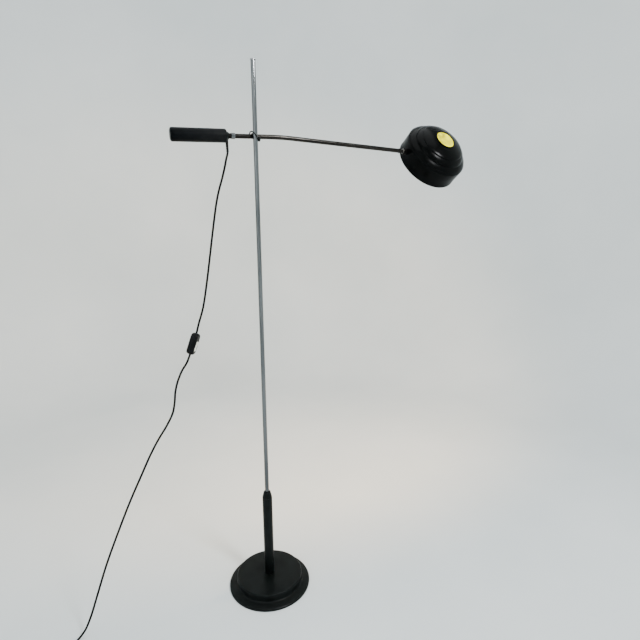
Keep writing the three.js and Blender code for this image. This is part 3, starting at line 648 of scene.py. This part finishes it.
def make_tie():
    """The strap round the coil, a thin band with rounded corners and a pinched tail."""
    width, thick = 0.0085, 0.0009
    outer = pill(0.0206, 0.0146, 0.0035, 6)
    inner = [(x * (1 - 2 * thick / 0.0206), y * (1 - 2 * thick / 0.0146)) for x, y in outer]
    work = bmesh.new()
    rings = []
    for y in (-width / 2, width / 2):
        rings.append([work.verts.new((a, y, 0.0076 + b)) for a, b in outer])
        rings.append([work.verts.new((a, y, 0.0076 + b)) for a, b in inner])
    for first, second in ((0, 1), (2, 3), (0, 2), (1, 3)):
        bridge(work, rings[first], rings[second])
    mesh = baked(work, "tie_band")
    at = Matrix.Translation((COIL_CENTRE[0] + 0.034, COIL_CENTRE[1], 0))
    return finish_piece(place_mesh("tie_band", mesh, "plastic", at, 40), "lead", ("cord_tie",))


make_camera()
make_lead()


# ---------- the stand ----------
def make_stand():
    cover = [
        (0.130, 0.0006), (0.130, 0.0058), (0.1268, 0.0082), (0.110, 0.0111), (0.1062, 0.0124), (0.1045, 0.0148),
        (0.1045, 0.0336), (0.1030, 0.0355), (0.006, 0.0355), (0.006, 0.0345), (0.1025, 0.0345), (0.103, 0.033),
        (0.103, 0.0118), (0.1277, 0.005), (0.1285, 0.0006),
    ]
    turned("base_shell", rounded(cover, 0.0011, 5), "satin", "stand", "black_satin", ("base_cover",), segments=192)
    pad = [(0, 0), (0.1255, 0), (0.126, 0.0005), (0.126, 0.002), (0, 0.002)]
    turned("base_pad", pad, "felt", "stand", "felt", ("base_felt",), segments=160)

    sleeve = [(0.0135, 0.0358), (0.0148, 0.0358), (0.0155, 0.0366), (0.0155, 0.3028), (0.0135, 0.3028)]
    turned(
        "socket_sleeve", rounded(sleeve, 0.0004, 3), "satin", "stand", "black_satin", ("socket_tube",), segments=128,
    )
    nose = [
        (0.0068, 0.291), (0.0132, 0.291), (0.0132, 0.3033), (0.0155, 0.3033), (0.0155, 0.3052), (0.0109, 0.3226),
        (0.0102, 0.324), (0.0072, 0.324), (0.0068, 0.3236),
    ]
    turned("socket_tip", rounded(nose, 0.0007, 4), "satin", "stand", "black_satin", ("socket_nose",), segments=128)

    pole = [(0.0053, 0.0503), (POLE_R, 0.0503), (POLE_R, 1.5863), (0.0061, 1.5867), (0.0053, 1.5867)]
    turned("pole_tube", pole, "chrome", "stand", "chrome", ("pole",), segments=96)
    cap = [
        (0, 1.575), (0.005, 1.575), (0.005, 1.587), (0.0078, 1.587), (0.0078, 1.5892), (0.0070, 1.590), (0, 1.590),
    ]
    turned("pole_top", rounded(cap, 0.0005, 4), "steel", "stand", "bright_steel", ("pole_cap",), segments=96)


# ---------- the arm with its grip and clamp ----------
BAIL_R = 0.0016
BAIL_BALL_R = 0.0043
BAIL_ROUTE = [
    (-0.0102, -0.0086, -0.0025), (-0.0134, -0.0108, 0.0008), (-0.0152, -0.0165, 0.0044), (-0.0148, -0.0228, 0.0074),
    (-0.0118, -0.0269, 0.008), (-0.0072, -0.0272, 0.0054), (-0.0022, -0.0268, 0.0008), (0.0032, -0.0268, -0.005),
    (0.0098, -0.0256, -0.0084), (0.0140, -0.0192, -0.0088), (0.0142, -0.0118, -0.0090), (0.0128, -0.006, -0.0096),
    (0.0112, 0.0002, -0.0092), (0.010, 0.0062, -0.0066), (0.0094, 0.0084, -0.0015),
]


def knurled_mesh(name, teeth, outer, depth, inner, low, high):
    """A straight-knurled collar along Z with chamfered ends."""
    work = bmesh.new()
    count = teeth * 4
    levels = [(low, -0.0009), (low + 0.0009, 0.0), (high - 0.0009, 0.0), (high, -0.0009)]
    rings = []
    for z, shrink in levels:
        ring = []
        for k in range(count):
            angle = 2 * math.pi * k / count
            radius = outer + shrink - (depth if k % 4 in (0, 3) else 0.0)
            ring.append(work.verts.new((radius * math.cos(angle), radius * math.sin(angle), z)))
        rings.append(ring)
    spin = [2 * math.pi * k / count for k in range(count)]
    bore = [[work.verts.new((inner * math.cos(a), inner * math.sin(a), z)) for a in spin] for z in (high, low)]
    loop = [*rings, *bore, rings[0]]
    for first, second in zip(loop, loop[1:]):
        bridge(work, first, second)
    return baked(work, name)


def make_arm():
    along = ARM_FRAME @ ALONG_X
    near, far, steps = -0.128, 0.473, 90
    line = [ARM_FRAME @ arm_point(near + (far - near) * k / steps) for k in range(steps + 1)]
    tube = place_mesh("arm_bar", tube_mesh("arm_bar", line, ARM_R, 48, ARM_R - ARM_WALL), "nickel")
    finish_piece(tube, "arm", ("arm_tube",))

    shell = [
        (0, -0.225), (0.0145, -0.225), (0.018, -0.2215), (0.018, -0.0813), (0.0160, -0.0813), (0.0160, -0.2225),
        (0, -0.2225),
    ]
    inner_corners = (3, 4, 5)
    turned(
        "grip_sleeve", rounded(shell, 0.0022, 6, inner_corners), "grip", "arm", "black_satin", ("grip_shell",),
        along, 128,
    )
    shoulder = [
        (0.00665, -0.0905), (0.0157, -0.0905), (0.0157, -0.081), (0.018, -0.081), (0.0172, -0.0784),
        (0.0106, -0.0746), (0.010, -0.071), (0.00665, -0.071),
    ]
    turned("grip_cone", rounded(shoulder, 0.0006, 4), "satin", "arm", "black_satin", ("grip_shoulder",), along, 128)
    neck = [
        (0.00665, -0.0707), (0.0070, -0.0707), (0.0075, -0.0700), (0.0075, -0.0688), (0.0068, -0.0682),
        (0.0068, -0.0670), (0.0075, -0.0664), (0.0075, -0.0650), (0.0070, -0.0643), (0.00665, -0.0643),
    ]
    turned("neck_band", neck, "nickel", "arm", "chrome", ("neck_ring",), along, 96)
    collar = knurled_mesh("collar_knurled", 24, 0.008, 0.0005, 0.00665, -0.064, -0.0525)
    finish_piece(place_mesh("collar_knurled", collar, "chrome", along, 25), "arm", ("knurled_collar",))

    wire = smooth_line([ARM_FRAME @ Vector(p) for p in BAIL_ROUTE], 0.0012)
    bail = place_mesh("bail_rod", tube_mesh("bail_rod", wire, BAIL_R, 20), "satin", None, 60)
    finish_piece(bail, "arm", ("bail_wire",))
    nut = [(0, -BAIL_BALL_R), *arc(0, 0, BAIL_BALL_R, -90, 90, 20)[1:-1], (0, BAIL_BALL_R)]
    turned(
        "bail_ball", nut, "satin", "arm", "black_satin", ("bail_nut",),
        ARM_FRAME @ Matrix.Translation((0.0129, -0.0062, -0.010)), 48,
    )

    end = ARM_END @ ALONG_X
    ferrule = [
        (0.0027, -0.029), (0.00485, -0.029), (0.00485, -0.0167), (0.00735, -0.0167), (0.00735, -0.0105),
        (0.00635, -0.0092), (0.0043, -0.0092), (0.0043, -0.0145), (0.0027, -0.0145),
    ]
    turned("arm_ferrule", rounded(ferrule, 0.0004, 4), "nickel", "arm", "chrome", ("end_ferrule",), end, 96)
    bore_r, stem_r, ball_r = 0.0027, 0.004, 0.0065
    stem_angle = math.degrees(math.asin(stem_r / ball_r))
    bore_angle = math.degrees(math.asin(bore_r / ball_r))
    ball = [(bore_r, -0.0142), (stem_r, -0.0142), *arc(0, 0, ball_r, -90 + stem_angle, 90 - bore_angle, 20)]
    turned("arm_ball", ball, "nickel", "arm", "chrome", ("joint_ball",), end, 96)


# ---------- the head ----------
SHADE_WALL = 0.0013
# the shade's outer wall, measured from the ball along the shade's own X
WALL_AT = SHADE_REACH - 0.106


def shade_profile():
    """Two lines: the outside of the shade from the rim to the vent, and the inside back to the rim."""
    outer = [
        (0.1056, 0.0), (0.1063, 0.0005), (0.1065, 0.0014), (0.1062, 0.0023), (0.1058, 0.0032), (0.1058, 0.030),
        (0.1060, 0.0535), (0.1057, 0.0560), (0.1046, 0.0578), (0.1035, 0.0586), (0.1031, 0.0591), (0.1028, 0.0603),
        (0.1016, 0.0622), (0.0978, 0.0658), (0.0924, 0.0697), (0.0889, 0.0717), (0.0883, 0.0722), (0.0879, 0.0738),
        (0.0868, 0.0760), (0.0838, 0.0803), (0.0796, 0.0838), (0.0752, 0.0864), (0.0737, 0.0873), (0.0731, 0.0879),
        (0.0728, 0.0894), (0.0715, 0.0905), (0.066, 0.0931), (0.060, 0.0954), (0.053, 0.0978), (0.046, 0.0998),
        (0.0395, 0.1013), (0.0345, 0.1022), (0.0328, 0.1024),
    ]
    inner = []
    for i, (r, z) in enumerate(outer):
        r0, z0 = outer[max(i - 1, 0)]
        r1, z1 = outer[min(i + 1, len(outer) - 1)]
        long = math.hypot(r1 - r0, z1 - z0)
        inner.append((r - (z1 - z0) / long * SHADE_WALL, z + (r1 - r0) / long * SHADE_WALL))
    rolled_rim = 5
    return outer, inner[rolled_rim:][::-1] + [(0.1044, 0.0032), (0.1046, 0.0004)]


def make_bowl_and_vent():
    outer, inner = shade_profile()
    white = set(inner)
    turned(
        "shade_bowl", outer + inner, ("enamel", "white"), "shade", "black_gloss", ("shade_shell",), SHADE_AXIS, 224,
        second=lambda r0, z0, r1, z1: (r0, z0) in white, sharp=50,
    )
    vent = [
        (0.0296, 0.0986), (0.0323, 0.0986), (0.0323, 0.103), (0.0348, 0.103), (0.0348, 0.1038), (0.0339, 0.1046),
        (0.0310, 0.1046), (0.0310, 0.1006), (0.0296, 0.1006),
    ]
    turned("vent_bezel", rounded(vent, 0.0004, 4), "enamel", "shade", "black_gloss", ("vent_ring",), SHADE_AXIS, 128)
    glass = [
        (0, 0.1009), (0.0302, 0.1009), (0.0306, 0.1013), (0.0306, 0.1034), (0.0300, 0.1038), (0.020, 0.1041),
        (0.008, 0.1043), (0, 0.10435),
    ]
    turned("vent_lens", glass, "vent", "shade", "vent_glass", ("vent_glass",), SHADE_AXIS, 96)


def make_ball_cup():
    """The cup that holds the ball, with its liner. Its open lip is behind the ball's centre."""
    cup_in, cup_out, liner_out, liner_in = 0.0079, 0.0096, 0.0076, 0.0068
    lip_z, neck_r, bore_r = -0.0026, 0.0054, 0.0027
    lip = math.degrees(math.asin(lip_z / cup_out))
    lip_in = math.degrees(math.asin(lip_z / cup_in))
    neck = math.degrees(math.acos(neck_r / cup_out))
    bore = math.degrees(math.acos(bore_r / cup_in))
    cup = [
        *arc(0, 0, cup_out, lip, neck, 16), (neck_r, 0.0086), (0.0058, 0.0091), (0.0088, 0.0092), (0.009, 0.0094),
        (0.009, WALL_AT - 0.0007), (0.0088, WALL_AT - 0.0005), (0.0039, WALL_AT - 0.0005),
        (0.0039, WALL_AT + 0.0059), (bore_r, WALL_AT + 0.0059), *arc(0, 0, cup_in, bore, lip_in, 16),
    ]
    turned("ball_cup", cup, "nickel", "shade", "dark_tube", ("joint_socket",), SHADE_BALL @ ALONG_X, 96)
    liner_lip = math.degrees(math.asin(lip_z / liner_out)) + 3
    liner_lip_in = math.degrees(math.asin(lip_z / liner_in)) + 6
    liner = [*arc(0, 0, liner_out, liner_lip, 62, 14), *arc(0, 0, liner_in, 60, liner_lip_in, 14)]
    turned("ball_liner", liner, "nylon", "knuckle", "nylon", ("joint_liner",), HEAD_ROLL @ ALONG_X, 64)


def make_holder_and_bulb():
    """The lampholder on the shade's wall and its bulb. Returns the place of the globe's centre."""
    along = SHADE_BALL @ ALONG_X
    nut_height, gap = 0.004, 0.0003
    low = WALL_AT + SHADE_WALL + 0.0007 + nut_height + gap
    high = low + 0.030
    body = [(0.0027, low), (0.0092, low), (0.0100, low + 0.0008)]
    body += [(0.0133, low + 0.0038), (0.0135, low + 0.0045)]
    for k in range(6):
        z = low + 0.0225 + k * 0.0011
        body += [(0.0135, z), (0.0131, z + 0.0004), (0.0135, z + 0.0008)]
    body += [
        (0.0135, high - 0.0006), (0.0130, high), (0.0096, high), (0.0092, high - 0.0004), (0.0092, low + 0.009),
        (0.0027, low + 0.009),
    ]
    turned("holder_body", body, "plastic", "shade", "black_plastic", ("lampholder",), along, 96)
    skirt = [
        (0.0138, low + 0.014), (0.0156, low + 0.014), (0.016, low + 0.0144), (0.016, low + 0.0216),
        (0.0156, low + 0.022), (0.0138, low + 0.022),
    ]
    turned("holder_skirt", skirt, "plastic", "shade", "black_plastic", ("holder_ring",), along, 96)

    thread = [(0, low + 0.0095), (0.0025, low + 0.0095), (0.0030, low + 0.0102), (0.0060, low + 0.0115)]
    for k in range(6):
        z = low + 0.0125 + k * 0.0027
        thread += [(0.0062, z), (0.0068, z + 0.0009), (0.0062, z + 0.0018)]
    thread += [(0.0068, high - 0.0012), (0.0068, high), (0, high)]
    turned("bulb_screw", thread, "steel", "shade", "bright_steel", ("bulb_cap",), along, 64)
    globe_r = 0.022
    start = high + gap
    centre = start + 0.030
    globe = [
        (0, start), (0.0078, start), (0.0084, start + 0.0005), (0.0087, start + 0.0020), (0.0097, start + 0.0042),
        *arc(0, centre, globe_r, -60, 89, 28), (0, centre + globe_r),
    ]
    turned("bulb_globe", globe, "opal", "shade", "opal_bulb", ("bulb_glass",), along, 96)
    return along @ Vector((0, 0, centre))


def dress_cad_nodes():
    """The CAD nodes that stay as they are get the same node materials."""
    looks = {
        "iron": ["base_weight"],
        "steel": ["base_washer", "base_nut", "base_stud", "pole_foot", "weight_core", "weight_screw", "pivot_pin",
                  "socket_nut"],
        "nylon": ["socket_bush"],
        "plastic": ["pole_shoe", "arm_shoe"],
        "rubber": ["arm_lead", "holder_lead"],
    }
    for look, names in looks.items():
        for name in names:
            mesh = NODES[name].data
            mesh.materials.clear()
            mesh.materials.append(MAT[look])


# ---------- stage and light ----------
def make_stage():
    """A pale round floor that curves up all round, outside every view's camera."""
    s = Shade("pale_stage").set(Roughness=0.75, Specular_IOR_Level=0.25)
    tone = s.noise(1.1, 3.0)
    s.link(Base_Color=s.ramp(tone, [(0.25, (0.66, 0.70, 0.705)), (0.75, (0.76, 0.785, 0.785))]))
    s.bump(s.noise(120.0, 4.0), 0.05, 0.001)
    MAT["stage"] = s.mat
    flat, turn, high = 2.0, 0.9, 4.5
    bend = [(flat + turn * math.sin(a), turn * (1 - math.cos(a))) for a in (math.pi / 2 * k / 20 for k in range(21))]
    profile = [(0, 0), *bend, (flat + turn, high)]
    sweep = place_mesh("stage_sweep", lathe_mesh("stage_sweep", profile, 96, closed=False), "stage", None, 60)


def area_light(name, place, target, size, power, colour):
    data = bpy.data.lights.new(name, "AREA")
    data.shape = "RECTANGLE"
    data.size, data.size_y = size
    data.energy = power
    data.color = colour
    light = bpy.data.objects.new(name, data)
    light.visible_camera = False
    light.location = place
    light.rotation_euler = (Vector(target) - Vector(place)).to_track_quat("-Z", "Y").to_euler()
    bpy.context.collection.objects.link(light)


# how far past the globe's centre the bulb's light starts, towards the opening, to be outside the globe
BULB_LIGHT_DROP = 0.03


def make_lights(bulb_place):
    area_light("key", (1.0, -2.1, 2.55), (0, 0, 0.9), (0.5, 0.5), 78, (0.97, 0.99, 1.0))
    area_light("fill", (-2.1, -1.7, 1.7), (0.1, 0.1, 0.9), (2.0, 2.0), 12, (0.93, 0.98, 1.0))
    area_light("top", (0.0, -0.2, 4.2), (0.0, -0.2, 0), (3.6, 3.6), 88, (0.95, 0.99, 1.0))
    data = bpy.data.lights.new("bulb_light", "SPOT")
    data.energy = 90.0
    data.color = (1.0, 0.66, 0.32)
    data.spot_size = math.radians(130)
    data.spot_blend = 0.6
    data.shadow_soft_size = 0.02
    bulb = bpy.data.objects.new("bulb_light", data)
    opening = (SHADE_BALL.to_3x3() @ Vector((0, 0, -1))).normalized()
    turn = opening.to_track_quat("-Z", "Y").to_matrix().to_4x4()
    bulb.matrix_world = Matrix.Translation(bulb_place + opening * BULB_LIGHT_DROP) @ turn
    bpy.context.collection.objects.link(bulb)
    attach(bulb, "shade")
    world = bpy.data.worlds.new("world")
    world.use_nodes = True
    world.node_tree.nodes["Background"].inputs["Color"].default_value = (0.75, 0.80, 0.85, 1)
    world.node_tree.nodes["Background"].inputs["Strength"].default_value = 0.5
    bpy.context.scene.world = world


make_stand()
make_arm()
make_bowl_and_vent()
make_ball_cup()
BULB_PLACE = make_holder_and_bulb()
dress_cad_nodes()
make_stage()
make_lights(BULB_PLACE)
